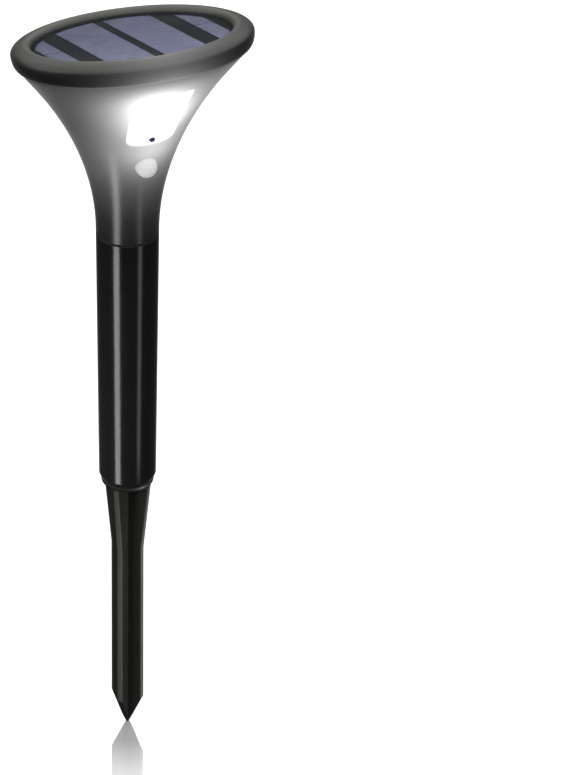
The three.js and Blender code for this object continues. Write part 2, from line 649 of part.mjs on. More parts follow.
function ledWire(side) {
  const back = ledBoardFront - ledBoard.thick - gap;
  return cord([
    place(windowFrame, side * 5, 0, back), place(windowFrame, side * 5, 0, back - 4),
    [side * 7, -10, boardMiddle + 22], [side * 8, wireFace - 1.5, boardMiddle + 14],
    [side * 8, wireFace, boardMiddle + 6],
  ]);
}

const batteryWires = {
  battery_wire_red: [
    [0, 0, contactTop + gap], [0, 0, holderTop + 2], [2, -1.5, holderTop + 8],
    [4, wireFace - 0.5, seamZ + board.bottom - 1], [4, wireFace, seamZ + board.bottom + 6],
  ],
  battery_wire_black: [
    [-grooveRadius, 0, plugTop + gap], [-grooveRadius, 0, plugTop + 6], [-grooveRadius, 0, cellTopZ - 6],
    [-grooveRadius, 0, holderTop], [-grooveRadius, 0, holderTop + 3], [-8, -1, holderTop + 8],
    [-4, wireFace - 0.5, seamZ + board.bottom], [-4, wireFace, seamZ + board.bottom + 6],
  ],
};

function ribbonGeometry() {
  const section = new THREE.Shape();
  section.moveTo(-0.4, -2.5);
  section.lineTo(0.4, -2.5);
  section.lineTo(0.4, 2.5);
  section.lineTo(-0.4, 2.5);
  const start = sensorBoardFront - sensorBoard.thick - gap;
  const extrudePath = new THREE.CatmullRomCurve3([
    place(domeFrame, 0, -4, start), place(domeFrame, 0, -4, start - 3),
    [0, boardFront - gap - 3, boardMiddle - 8], [0, boardFront - gap, boardMiddle - 8],
  ].map((point) => new THREE.Vector3(...point)));
  return new THREE.ExtrudeGeometry(section, { steps: 10, extrudePath, bevelEnabled: false });
}

// ---------------------------------------------------------------- the assembly
const lamp = new THREE.Group();

lamp.add(mesh('ground_spike', spikeSolid(), spikePlastic));
lamp.add(mesh('pole_tube', poleGeometry(), blackPlastic));
lamp.add(mesh('neck_seal', neckSealGeometry(), rubber));
lamp.add(mesh('head_shell', headShellSolid(), smokePlastic));
lamp.add(mesh('window_lens', windowLensSolid(), clear));

const lid = new THREE.Group();
lid.rotation.x = -horn.lean;
lid.position.copy(lidOrigin);
lid.add(mesh('top_cover', topCoverSolid(), blackPlastic));
lid.add(mesh('cover_seal', coverSealGeometry(), rubber));
coverScrewSpots.forEach(([x, y], i) =>
  lid.add(mesh(`cover_screw_${i + 1}`, coverScrewGeometry(x, y), steel)));
lid.add(mesh('panel_cover', rod(panelRadius, -panel.drop - panel.cover, -panel.drop, sides), clear));
for (const [name, xLow, xHigh, yLow, yHigh] of cellPlan) {
  lid.add(mesh(name, panelPiece(xLow, xHigh, yLow, yHigh, cellRadius, cellTop, panel.cell), silicon));
}
const boardTop = cellTop - panel.cell - gap;
lid.add(mesh('panel_backing', rod(panelRadius, boardTop - panel.board, boardTop, sides), circuit));
lamp.add(lid);

function unit(frame, ...pieces) {
  const group = new THREE.Group();
  group.applyMatrix4(frame);
  group.add(...pieces);
  lamp.add(group);
}

unit(
  windowFrame,
  mesh('reflector', reflectorSolid(), whitePlastic),
  mesh('led_board', ledBoardSolid(), whitePlastic),
  ...ledSpots.map(([x, y], i) => mesh(`led_${i + 1}`,
    block(led.width, led.length, led.height, x, y, ledBoardFront + gap + led.height / 2), lampGlow)),
  ...ledScrewSpots.map((y, i) => mesh(`led_board_screw_${i + 1}`,
    screwDown(0, y, ledBoardFront - ledBoard.thick - gap, ledBoard.thick + 2), steel)),
);
unit(eyeFrame, mesh('light_sensor', eyeGeometry(), darkBlue));
unit(
  domeFrame,
  mesh('pir_dome', domeGeometry(), milky),
  mesh('pir_sensor', pirSensorGeometry(), steel),
  mesh('sensor_board', sensorBoardSolid(), circuit),
  ...postSpots.map((x, i) => mesh(`sensor_board_screw_${i + 1}`,
    screwDown(x, 0, sensorBoardFront - sensorBoard.thick - gap, sensorBoard.thick + 3.4), steel)),
);
unit(buttonFrame, mesh('mode_button', buttonGeometry(), rubber));

const boardPlate = block(board.width, board.thick, board.height, 0, board.y, boardMiddle);
lamp.add(mesh('control_board', boardPlate, circuit));
const chipY = boardFront - gap - chip.thick / 2;
const chipBlock = block(chip.width, chip.thick, chip.height, 0, chipY, boardMiddle + chip.rise);
lamp.add(mesh('control_chip', chipBlock, rubber));
lamp.add(mesh('button_switch', tactSolid(), steel));

lamp.add(mesh('battery_holder', holderSolid(), blackPlastic));
const contactRadius = cell18650.radius - contact.inset;
lamp.add(mesh('battery_contact', rod(contactRadius, contactTop - contact.thick, contactTop, 24), steel));
lamp.add(mesh('battery_cell', batteryGeometry(), batteryWrap));
lamp.add(mesh('battery_spring', springGeometry(), steel));
lamp.add(mesh('battery_cap', batteryCapGeometry(), blackPlastic));

lamp.add(mesh('panel_wire_red', panelWire(1), redWire));
lamp.add(mesh('panel_wire_black', panelWire(-1), blackWire));
lamp.add(mesh('led_wire_red', ledWire(1), redWire));
lamp.add(mesh('led_wire_black', ledWire(-1), blackWire));
lamp.add(mesh('battery_wire_red', cord(batteryWires.battery_wire_red), redWire));
lamp.add(mesh('battery_wire_black', cord(batteryWires.battery_wire_black, wireRadius, 24), blackWire));
lamp.add(mesh('sensor_ribbon', ribbonGeometry(), milky));

export default lamp;
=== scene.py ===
import json
from math import atan2, cos, exp, hypot, pi, radians, sin, sqrt, tan

import bmesh
import bpy
from mathutils import Matrix, Vector


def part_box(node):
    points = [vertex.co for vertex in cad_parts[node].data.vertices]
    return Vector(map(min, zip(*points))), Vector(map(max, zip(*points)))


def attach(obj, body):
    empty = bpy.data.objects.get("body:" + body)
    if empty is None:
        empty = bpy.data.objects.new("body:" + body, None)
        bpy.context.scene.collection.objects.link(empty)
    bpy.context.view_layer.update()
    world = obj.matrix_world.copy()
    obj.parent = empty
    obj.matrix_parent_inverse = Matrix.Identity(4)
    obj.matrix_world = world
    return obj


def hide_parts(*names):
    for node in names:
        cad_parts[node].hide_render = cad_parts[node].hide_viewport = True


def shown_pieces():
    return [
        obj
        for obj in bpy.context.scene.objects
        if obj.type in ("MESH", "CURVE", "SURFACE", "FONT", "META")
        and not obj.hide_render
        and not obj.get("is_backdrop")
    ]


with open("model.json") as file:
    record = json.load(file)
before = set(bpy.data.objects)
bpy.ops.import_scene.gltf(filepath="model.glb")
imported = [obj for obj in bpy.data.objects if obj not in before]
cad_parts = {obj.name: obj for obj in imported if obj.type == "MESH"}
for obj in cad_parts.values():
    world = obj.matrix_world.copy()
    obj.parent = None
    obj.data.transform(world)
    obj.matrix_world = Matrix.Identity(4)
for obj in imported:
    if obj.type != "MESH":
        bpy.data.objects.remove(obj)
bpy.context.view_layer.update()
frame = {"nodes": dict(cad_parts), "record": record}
print("frame loaded:", len(frame["nodes"]), "nodes")

mm = 0.001  # the pieces are drawn in millimetres and scaled at the end


# places taken from the frame, in millimetres
def lowest(node):
    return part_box(node)[0] / mm


def highest(node):
    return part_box(node)[1] / mm


sealGap = 0.15
seamHeight = highest("neck_seal").z + sealGap
neckRadius = highest("pole_tube").x
ringRadius = highest("top_cover").x
soleHeight = lowest("ground_spike").z

horn = {
    "rimRadius": 55, "crestHeight": 112.9, "lean": radians(16.5), "shift": 5, "shiftPower": 5, "wall": 2.3,
    "spigotLength": 18, "spigotRadius": 13.5, "spigotBore": 12, "shelf": 2, "tongueThick": 1.2,
    "tongueRise": 2.4, "edge": 0.25, "rows": 84, "innerRows": 36, "turns": 176,
}
ring = {
    "overhang": 4, "outerDrop": 4.5, "crestInset": 3.7, "lipInset": 6.3, "lipDrop": 3.2, "height": 11.8,
    "wall": 2.2, "floor": 2, "turns": 192,
}
gap = 0.3
lidTurn = Matrix.Rotation(-horn["lean"], 4, "X")
lidFrame = Matrix.Translation((0, -horn["shift"], seamHeight + horn["crestHeight"])) @ lidTurn
rimCentre = lidFrame @ Vector((0, 0, -ring["height"] - gap))
hornHeight = rimCentre.z - seamHeight


# node trees written as sums
class Value:
    # a socket that can stand in a Python sum
    def __init__(self, tree, socket):
        self.tree = tree
        self.socket = socket

    def output(self, key):
        return Value(self.tree, self.socket.node.outputs[key])

    def __add__(self, other):
        return self.tree.sum("ADD", self, other)

    def __radd__(self, other):
        return self.tree.sum("ADD", other, self)

    def __sub__(self, other):
        return self.tree.sum("SUBTRACT", self, other)

    def __rsub__(self, other):
        return self.tree.sum("SUBTRACT", other, self)

    def __mul__(self, other):
        return self.tree.sum("MULTIPLY", self, other)

    def __rmul__(self, other):
        return self.tree.sum("MULTIPLY", other, self)

    def __truediv__(self, other):
        return self.tree.sum("DIVIDE", self, other)

    def __pow__(self, other):
        return self.tree.sum("POWER", self, other)


class Tree:
    def __init__(self, nodeTree):
        self.nodeTree = nodeTree

    def node(self, kind, settings=None, sockets=(), output=0):
        made = self.nodeTree.nodes.new(kind)
        for name, value in (settings or {}).items():
            if name == "stops":
                self.setStops(made.color_ramp, value)
            else:
                setattr(made, name, value)
        pairs = sockets.items() if isinstance(sockets, dict) else enumerate(sockets)
        for key, value in pairs:
            if isinstance(value, Value):
                self.nodeTree.links.new(value.socket, made.inputs[key])
            else:
                made.inputs[key].default_value = value
        return Value(self, made.outputs[output]) if len(made.outputs) else made

    def setStops(self, ramp, stops):
        while len(ramp.elements) < len(stops):
            ramp.elements.new(1)
        for element, (place, level) in zip(ramp.elements, stops):
            element.position = place
            element.color = (*level, 1) if isinstance(level, tuple) else (level, level, level, 1)

    def sum(self, operation, *terms):
        return self.node("ShaderNodeMath", {"operation": operation}, terms)

    def vector(self, operation, terms, output=0):
        return self.node("ShaderNodeVectorMath", {"operation": operation}, terms, output)

    def mixColour(self, share, first, second):
        settings = {"data_type": "RGBA", "clamp_factor": True}
        return self.node("ShaderNodeMix", settings, {0: share, 6: first, 7: second}, 2)

    def mapped(self, value, given, wanted, settings=None):
        # a value between the two given levels, carried to the two wanted ones
        sockets = {0: value, 1: given[0], 2: given[1], 3: wanted[0], 4: wanted[1]}
        return self.node("ShaderNodeMapRange", settings, sockets)

    def noise(self, place, scale, detail=3, roughness=0.5):
        sockets = {"Vector": place, "Scale": scale, "Detail": detail, "Roughness": roughness}
        return self.node("ShaderNodeTexNoise", None, sockets)


def opaque(colour):
    return (*colour, 1)


# meshes
def arc(centre, radii, start, end, steps):
    turns = [start + (end - start) * i / steps for i in range(steps + 1)]
    return [(centre[0] + radii[0] * cos(a), centre[1] + radii[1] * sin(a)) for a in turns]


def filleted(corners, steps=5):
    # a closed outline whose (x, y, radius) corners are rounded
    points = []
    for i, (x, y, radius) in enumerate(corners):
        corner = Vector((x, y))
        before = (Vector(corners[i - 1][:2]) - corner).normalized()
        after = (Vector(corners[(i + 1) % len(corners)][:2]) - corner).normalized()
        if radius == 0:
            points.append((x, y))
            continue
        half = before.angle(after) / 2
        centre = corner + (before + after).normalized() * (radius / sin(half))
        start = corner + before * (radius / tan(half)) - centre
        end = corner + after * (radius / tan(half)) - centre
        sweep = start.angle_signed(end)
        for k in range(steps + 1):
            turned = start.copy()
            turned.rotate(Matrix.Rotation(-sweep * k / steps, 2))
            points.append(tuple(centre + turned))
    return points


def turned(profile, steps=128, place=None):
    # a closed (radius, height) profile turned about Z
    bm = bmesh.new()
    angles = [2 * pi * i / steps for i in range(steps)]
    rows = []
    for radius, height in profile:
        if radius < 1e-6:
            rows.append([bm.verts.new((0, 0, height))] * steps)
        else:
            rows.append([bm.verts.new((radius * cos(a), radius * sin(a), height)) for a in angles])
    for low, high in zip(rows, rows[1:] + rows[:1]):
        for i in range(steps):
            j = (i + 1) % steps
            corners = list(dict.fromkeys((low[i], low[j], high[j], high[i])))
            if len(corners) > 2:
                bm.faces.new(corners)
    return facingOut(bm, place)


def facingOut(bm, place=None):
    bmesh.ops.recalc_face_normals(bm, faces=bm.faces)
    if place:
        bm.transform(place)
    return bm


def extruded(outline, low, high, place=None):
    bm = bmesh.new()
    bottom = [bm.verts.new((x, y, low)) for x, y in outline]
    top = [bm.verts.new((x, y, high)) for x, y in outline]
    bm.faces.new(bottom[::-1])
    bm.faces.new(top)
    for i in range(len(outline)):
        j = (i + 1) % len(outline)
        bm.faces.new((bottom[i], bottom[j], top[j], top[i]))
    return facingOut(bm, place)


def asObject(bm, name):
    mesh = bpy.data.meshes.new(name)
    bm.to_mesh(mesh)
    bm.free()
    made = bpy.data.objects.new(name, mesh)
    bpy.context.scene.collection.objects.link(made)
    return made


def evaluated(made):
    # the object's mesh with its modifiers applied
    bpy.context.view_layer.update()
    graph = bpy.context.evaluated_depsgraph_get()
    return bpy.data.meshes.new_from_object(made.evaluated_get(graph))


def combined(bm, *others, operation="DIFFERENCE"):
    base = asObject(bm, "blank")
    tools = [asObject(other, "tool") for other in others]
    for tool in tools:
        modifier = base.modifiers.new("cut", "BOOLEAN")
        modifier.object = tool
        modifier.operation = operation
        modifier.solver = "EXACT"
    mesh = evaluated(base)
    for used in (base, *tools):
        bpy.data.objects.remove(used)
    result = bmesh.new()
    result.from_mesh(mesh)
    bpy.data.meshes.remove(mesh)
    return result


def finished(bm, name, body, slot, finish, nodes=(), sharpAngle=40, bevel=None):
    # in metres, shaded smooth between crisp edges, with its body and the nodes it stands for; the slot is
    # not used
    bmesh.ops.scale(bm, vec=(mm, mm, mm), verts=bm.verts)
    bmesh.ops.remove_doubles(bm, verts=bm.verts, dist=1e-7)
    made = asObject(bm, name)
    if bevel:
        modifier = made.modifiers.new("edge", "BEVEL")
        modifier.width = bevel * mm
        modifier.segments = 3
        modifier.limit_method = "ANGLE"
        modifier.angle_limit = radians(sharpAngle)
        made.data = evaluated(made)
        made.modifiers.clear()
    mesh = made.data
    mesh.polygons.foreach_set("use_smooth", [True] * len(mesh.polygons))
    mesh.set_sharp_from_angle(angle=radians(sharpAngle))
    mesh.materials.clear()
    mesh.materials.append(finish)
    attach(made, body)
    if nodes:
        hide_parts(*nodes)
    return made


# finishes
def newFinish(name):
    material = bpy.data.materials.new(name)
    material.use_nodes = True
    material.node_tree.nodes.clear()
    return material, Tree(material.node_tree)


def objectPlace(tree):
    return tree.node("ShaderNodeTexCoord").output("Object")


def bump(tree, height, depth):
    return tree.node("ShaderNodeBump", None, {"Strength": 1, "Distance": depth, "Height": height})


def output(tree, shader):
    tree.node("ShaderNodeOutputMaterial", None, {"Surface": shader})


def glowAt(tree, place, spots):
    # emission from a few spots that dies away with distance: the lamp's own light on its window and
    # emitters, painted glow and painted spill light on the horn, ring and motion dome
    light = 0.0
    for centre, reach, peak in spots:
        distance = tree.vector("DISTANCE", (place, centre), "Value")
        light = light + peak * tree.sum("EXPONENT", distance / -reach)
    return light


def axisDistance(tree, place):
    # how far a point is from the pole's axis
    flat = tree.vector("MULTIPLY", (place, (1, 1, 0)))
    return tree.vector("LENGTH", (flat,), "Value")


def topFace(tree, place, band):
    # 1 on the ring's top face, 0 on its outer wall: where the painted top light goes
    local = tree.vector("SUBTRACT", (place, tuple(lidFrame.translation * mm)))
    axis = tuple(lidFrame.to_3x3() @ Vector((0, 0, 1)))
    flat = tree.vector("SUBTRACT", (local, tree.vector("PROJECT", (local, axis))))
    sideways = tree.vector("LENGTH", (flat,), "Value")
    return tree.mapped(sideways, (band["start"], band["end"]), (1, 0))


def bladeEdges(tree, place, paintedEdgeHighlight):
    # 1 along the outer edges of the spike's blades, below the collar, where a highlight is painted
    axial = tree.node("ShaderNodeSeparateXYZ", None, (place,)).output("Z")
    sideways = axisDistance(tree, place)
    widening = tree.sum("MAXIMUM", 1 + axial / paintedEdgeHighlight["flare"], 0.0)
    reach = paintedEdgeHighlight["reach"] + paintedEdgeHighlight["widening"] * tree.sum("MINIMUM", widening, 1.0)
    edge = tree.mapped(sideways - reach, paintedEdgeHighlight["fade"], (0, 1))
    below = tree.sum("LESS_THAN", axial, paintedEdgeHighlight["top"])
    return edge * below


def moulded(name, look):
    # moulded plastic, rubber or painted metal: mottled tone, fine grain and scuffed streaks in the gloss;
    # where a look asks, also painted top light, painted edge highlights and painted glow
    material, tree = newFinish(name)
    place = objectPlace(tree)
    grain = tree.noise(place, look["grain"], 4)
    mottle = tree.noise(place, look.get("mottle", 60), 3)
    streakPlace = tree.vector("MULTIPLY", (place, look.get("streak", (1, 1, 1))))
    streak = tree.noise(streakPlace, look.get("streakScale", 300), 2)
    colour = tree.mixColour(mottle, opaque(look["colour"]), opaque(look["lighter"]))
    if "band" in look:
        # painted top light: the top face is paler, standing in for light falling from above
        band = look["band"]
        pale = topFace(tree, place, band) * (0.85 + 0.3 * streak)
        colour = tree.mixColour(pale, colour, opaque(band["colour"]))
    if "paintedEdgeHighlight" in look:
        # painted highlight: paler along the blades' outer edges
        paintedEdgeHighlight = look["paintedEdgeHighlight"]
        edgeHighlight = bladeEdges(tree, place, paintedEdgeHighlight) * (0.5 + streak)
        colour = tree.mixColour(edgeHighlight, colour, opaque(paintedEdgeHighlight["colour"]))
    roughness = look["roughness"] + look.get("wear", 0.06) * (streak - 0.5) + 0.04 * (mottle - 0.5)
    sockets = {
        "Base Color": colour, "Roughness": roughness, "Metallic": look.get("metal", 0),
        "Specular IOR Level": look.get("specular", 0.5), "Normal": bump(tree, grain, look["depth"]),
    }
    # emission: painted glow on the horn, painted spill light on the ring, the emitters' own light inside
    glow = look.get("glow")
    if glow:
        light = glowAt(tree, place, glow["spots"])
        # painted glow that changes with height up the horn
        if "rise" in glow:
            height = tree.node("ShaderNodeSeparateXYZ", None, (place,)).output("Z")
            share = (height - seamHeight * mm) / (hornHeight * mm)
            light = light + tree.node("ShaderNodeValToRGB", {"stops": glow["rise"]}, (share,))
        sockets["Emission Color"] = tree.node("ShaderNodeCombineColor", None, (light, light, light))
        sockets["Emission Strength"] = 1
    output(tree, tree.node("ShaderNodeBsdfPrincipled", None, sockets))
    return material


# centres of the emission spots: the window's own light, and painted glow and spill light on the horn, ring
# and motion dome
ledCentre = (0.002, -0.034, 0.2304)  # in the light unit, behind the window
spillCentre = (-0.004, -0.042, 0.247)  # near the head of the window, under the ring
lowCentre = (0.001, -0.018, 0.208)  # behind the motion sensor, a centre of painted glow on the horn
ringCentre = (-0.003, -0.052, 0.247)  # under the ring's front, centre of the painted spill light on the ring
blackPole = moulded("blackPole", {
    "colour": (0.0045, 0.0045, 0.005), "lighter": (0.007, 0.007, 0.0075), "roughness": 0.17, "grain": 900,
    "depth": 0.00002, "specular": 0.3, "streak": (1, 1, 0.04), "streakScale": 700, "wear": 0.1,
})
blackRing = moulded("blackRing", {
    "colour": (0.0034, 0.0035, 0.003), "lighter": (0.006, 0.0062, 0.0053), "roughness": 0.36, "grain": 1400,
    "depth": 0.00004, "specular": 0.5, "mottle": 90, "wear": 0.1,
    # painted spill light: emission on the ring's front, standing in for light from the window
    "glow": {"spots": [(ringCentre, 0.007, 5)]},
    # painted top light on the ring's top face, standing in for light from above
    "band": {"start": 0.0515, "end": 0.0535, "colour": (0.0135, 0.014, 0.0118)},
})
smokeHorn = moulded("smokeHorn", {
    "colour": (0.006, 0.006, 0.0065), "lighter": (0.009, 0.009, 0.0095), "roughness": 0.26, "grain": 1100,
    "depth": 0.00003, "specular": 0.28, "streak": (1, 1, 0.1), "streakScale": 500, "wear": 0.08,
    # painted glow: emission on the shell around the window and sensor, standing in for the window's glare
    "glow": {
        "spots": [(ledCentre, 0.0084, 3.7), (spillCentre, 0.0084, 3.9), (lowCentre, 0.0068, 2)],
        "rise": [
            (0, 0.004), (0.13, 0.014), (0.24, 0.034), (0.42, 0.065), (0.6, 0.05), (0.75, 0.035), (1, 0.03),
        ],
    },
})
spikeBlack = moulded("spikeBlack", {
    "colour": (0.0075, 0.0075, 0.006), "lighter": (0.0125, 0.0125, 0.0105), "roughness": 0.38,
    "grain": 1600, "depth": 0.00005, "specular": 0.4, "streak": (1, 1, 0.06), "streakScale": 900,
    "wear": 0.2,
    # painted highlight along the blades' outer edges
    "paintedEdgeHighlight": {
        "reach": 0.0086, "widening": 0.0042, "flare": 0.04, "fade": (-0.0008, -0.0002), "top": -0.0005,
        "colour": (0.095, 0.095, 0.088),
    },
})
softRubber = moulded("softRubber", {
    "colour": (0.008, 0.008, 0.008), "lighter": (0.013, 0.013, 0.013), "roughness": 0.8, "grain": 2500,
    "depth": 0.00006,
})
backing = moulded("backing", {
    "colour": (0.008, 0.0105, 0.01), "lighter": (0.014, 0.018, 0.017), "roughness": 0.3, "specular": 0.05,
    "grain": 2600, "depth": 0.00003, "mottle": 140,
})
eyeBlue = moulded("eyeBlue", {
    "colour": (0.012, 0.025, 0.09), "lighter": (0.02, 0.04, 0.13), "roughness": 0.12, "grain": 1500,
    "depth": 0.00001,
})
print("plastics made")


def milkyFinish(name, look):
    # a milky lens given emission, whitest over the emitters: the lamp's own light on the window, painted
    # glow on the motion dome
    material, tree = newFinish(name)
    place = objectPlace(tree)
    light = glowAt(tree, place, look["spots"]) + look["floor"]
    frost = tree.noise(place, look["frost"], 3)
    colour = tree.mixColour(frost, opaque(look["colour"]), opaque(look["lighter"]))
    glowColour = tree.mixColour(tree.sum("MINIMUM", light, 1.0), opaque(look["dim"]), (1, 1, 1, 1))
    sockets = {
        "Base Color": colour, "Roughness": look["roughness"] + 0.08 * frost,
        "Normal": bump(tree, frost, look["depth"]), "Emission Color": glowColour,
        "Emission Strength": look["strength"],
    }
    output(tree, tree.node("ShaderNodeBsdfPrincipled", None, sockets))
    return material


litLens = milkyFinish("litLens", {
    "colour": (0.28, 0.29, 0.3), "lighter": (0.34, 0.35, 0.36), "roughness": 0.22, "frost": 1300,
    "depth": 0.00003, "dim": (0.3, 0.315, 0.32), "floor": 0.12, "strength": 1.15,
    "spots": [(ledCentre, 0.0098, 4), (spillCentre, 0.008, 2.4)],
})
# painted glow: the motion dome is no lamp, its emission stands in for the emitters' glare
milkyDome = milkyFinish("milkyDome", {
    "colour": (0.42, 0.43, 0.42), "lighter": (0.56, 0.57, 0.56), "roughness": 0.3, "frost": 900,
    "depth": 0.00004, "dim": (0.14, 0.14, 0.137), "floor": 0.0, "strength": 1,
    "spots": [(ledCentre, 0.012, 3.6)],
})


def siliconFinish(name):
    # polycrystalline grain in lavender and violet, with fine streaks, paler at the front
    material, tree = newFinish(name)
    place = objectPlace(tree)
    crystals = tree.node("ShaderNodeTexVoronoi", None, {"Vector": place, "Scale": 420}).output("Color")
    crystal = tree.node("ShaderNodeSeparateColor", None, (crystals,))
    patches = tree.noise(place, 55, 3)
    streaks = tree.noise(tree.vector("MULTIPLY", (place, (0.25, 3, 1))), 420, 3)
    front = tree.node("ShaderNodeSeparateXYZ", None, (place,)).output("Y")
    paler = tree.mapped(front, (0.03, -0.05), (0, 1))
    tone = 0.3 * crystal + 0.75 * (streaks - 0.3) + 0.5 * (patches - 0.3) + 0.5 * paler - 0.2
    colour = tree.mixColour(tone, opaque((0.088, 0.092, 0.145)), opaque((0.465, 0.478, 0.605)))
    violet = tree.mixColour(1.6 * patches - 0.55, colour, opaque((0.15, 0.125, 0.31)))
    sockets = {
        "Base Color": violet, "Roughness": 0.28 + 0.12 * crystal, "Metallic": 0, "Specular IOR Level": 0.25,
        "Normal": bump(tree, crystal, 0.00003),
    }
    output(tree, tree.node("ShaderNodeBsdfPrincipled", None, sockets))
    return material


def clearFinish(name):
    # a clear sheet: what is under it shows, with a gloss that grows as it is seen more flatly
    material, tree = newFinish(name)
    place = objectPlace(tree)
    haze = tree.noise(place, 240, 3)
    gloss = tree.node("ShaderNodeBsdfPrincipled", None, {
        "Base Color": (0.02, 0.02, 0.025, 1), "Roughness": 0.12 + 0.06 * haze,
        "Normal": bump(tree, haze, 0.00001),
    })
    share = tree.node("ShaderNodeFresnel", None, {"IOR": 1.25}) * 0.3 + 0.015
    clear = tree.node("ShaderNodeBsdfTransparent", None, {"Color": (0.97, 0.98, 1, 1)})
    output(tree, tree.node("ShaderNodeMixShader", None, (share, clear, gloss)))
    return material


silicon = siliconFinish("silicon")
clearSheet = clearFinish("clearSheet")
silverPaste = moulded("silverPaste", {
    "colour": (0.3, 0.31, 0.36), "lighter": (0.4, 0.41, 0.45), "roughness": 0.45, "grain": 3000,
    "depth": 0.00001,
})


# the horn of the head
hornCurve = (  # control points of its outline
    (neckRadius, 0), (neckRadius, 0.555 * hornHeight), (horn["rimRadius"] - 1.3, 0.94 * hornHeight),
    (horn["rimRadius"], hornHeight),
)


def flarePoint(share, depth=0):
    # a point on the upright horn's outline, moved inwards by a depth
    rest = 1 - share
    weights = (rest**3, 3 * rest**2 * share, 3 * rest * share**2, share**3)
    slopes = (-3 * rest**2, 3 * rest**2 - 6 * rest * share, 6 * rest * share - 3 * share**2, 3 * share**2)
    point = Vector([sum(w * p[k] for w, p in zip(weights, hornCurve)) for k in (0, 1)])
    along = Vector([sum(w * p[k] for w, p in zip(slopes, hornCurve)) for k in (0, 1)]).normalized()
    return (point.x - along.y * depth, point.y + along.x * depth)


def flare(depth, rows):
    return [flarePoint(i / rows, depth) for i in range(rows + 1)]


def leanPoint(x, y, height):
    share = min(max(height / hornHeight, 0), 1)
    angle = horn["lean"] * share
    past = height - share * hornHeight
    middle = rimCentre.y * share ** horn["shiftPower"]
    return Vector((
        x, middle + y * cos(angle) + past * sin(angle),
        seamHeight + share * hornHeight - y * sin(angle) + past * cos(angle),
    ))


def hornStation(height, side):
    # the point of the horn's face at a height over the seam, in front (-1) or at the back (1)
    def face(share):
        radius, level = flarePoint(share)
        return leanPoint(0, side * radius, level)

    low, high = 0, 1
    for _ in range(40):
        middle = (low + high) / 2
        if face(middle).z < seamHeight + height:
            low = middle
        else:
            high = middle
    return face(low), (face(low + 0.02) - face(low - 0.02)).normalized()


def hornFrame(height, side):
    # X to the right and Y up along the face, Z out of it
    origin, up = hornStation(height, side)
    right = Vector((-side, 0, 0))
    out = right.cross(up)
    basis = Matrix((right, up, out)).transposed().to_4x4()
    return Matrix.Translation(origin) @ basis


def newGroup(name, sizes):
    # a node group that takes a shape, named sizes and a finish
    group = bpy.data.node_groups.new(name, "GeometryNodeTree")
    face = group.interface
    face.new_socket("Geometry", in_out="INPUT", socket_type="NodeSocketGeometry")
    for size in sizes:
        face.new_socket(size, in_out="INPUT", socket_type="NodeSocketFloat")
    face.new_socket("Finish", in_out="INPUT", socket_type="NodeSocketMaterial")
    face.new_socket("Geometry", in_out="OUTPUT", socket_type="NodeSocketGeometry")
    tree = Tree(group)
    given = tree.node("NodeGroupInput")
    return group, tree, given, [given.output(size) for size in sizes]


def endGroup(tree, given, shape):
    real = tree.node("GeometryNodeRealizeInstances", None, (shape,))
    sockets = {"Geometry": real, "Material": given.output("Finish")}
    tree.node("NodeGroupOutput", None, (tree.node("GeometryNodeSetMaterial", None, sockets),))


def leanTree():
    # turns each level of an upright shape forwards, as the horn leans towards its rim
    sizes = ("Height", "Lean", "Rim Shift", "Shift Power", "Seam")
    group, tree, given, (height, lean, rimShift, power, seam) = newGroup("leaningHorn", sizes)
    place = tree.node("ShaderNodeSeparateXYZ", None, (tree.node("GeometryNodeInputPosition"),))
    x, y, z = place, place.output("Y"), place.output("Z")
    share = tree.sum("MINIMUM", tree.sum("MAXIMUM", z / height, 0.0), 1.0)
    angle = lean * share
    past = z - share * height
    cosine, sine = tree.sum("COSINE", angle), tree.sum("SINE", angle)
    leantY = rimShift * share**power + y * cosine + past * sine
    leantZ = seam + share * height - y * sine + past * cosine
    spot = tree.node("ShaderNodeCombineXYZ", None, (x, leantY, leantZ))
    moved = tree.node("GeometryNodeSetPosition", None, {"Geometry": given, "Position": spot})
    endGroup(tree, given, moved)
    return group


def shapedBy(made, group, settings):
    # the mesh that a node group makes of an object, with its named inputs set
    modifier = made.modifiers.new(group.name, "NODES")
    modifier.node_group = group
    for item in group.interface.items_tree:
        if item.in_out == "INPUT" and item.name in settings:
            modifier[item.identifier] = settings[item.name]
    result = bmesh.new()
    mesh = evaluated(made)
    result.from_mesh(mesh)
    bpy.data.meshes.remove(mesh)
    bpy.data.objects.remove(made)
    return result


leaningHorn = leanTree()


def leaned(bm, finish):
    return shapedBy(asObject(bm, "upright"), leaningHorn, {
        "Height": hornHeight, "Lean": horn["lean"], "Rim Shift": rimCentre.y,
        "Shift Power": float(horn["shiftPower"]), "Seam": seamHeight, "Finish": finish,
    })


window = {"rimGap": 13.9, "height": 38.5, "bottomWidth": 25, "topWidth": 31, "corner": 3.8, "thick": 3.8}
windowTop = hornHeight + horn["rimRadius"] * sin(horn["lean"]) - window["rimGap"]
windowFoot = windowTop - window["height"]
windowFrame = hornFrame((windowFoot + windowTop) / 2, -1)


def windowPrism(grow):
    low, high = hornStation(windowFoot, -1)[0], hornStation(windowTop, -1)[0]
    half = (high - low).length / 2 + grow
    narrow, wide = window["bottomWidth"] / 2 + grow, window["topWidth"] / 2 + grow
    corner = window["corner"] + grow
    corners = [(-narrow, -half), (narrow, -half), (wide, half), (-wide, half)]
    outline = filleted([(*spot, corner) for spot in corners], 7)
    return extruded(outline, -16, 8, windowFrame)


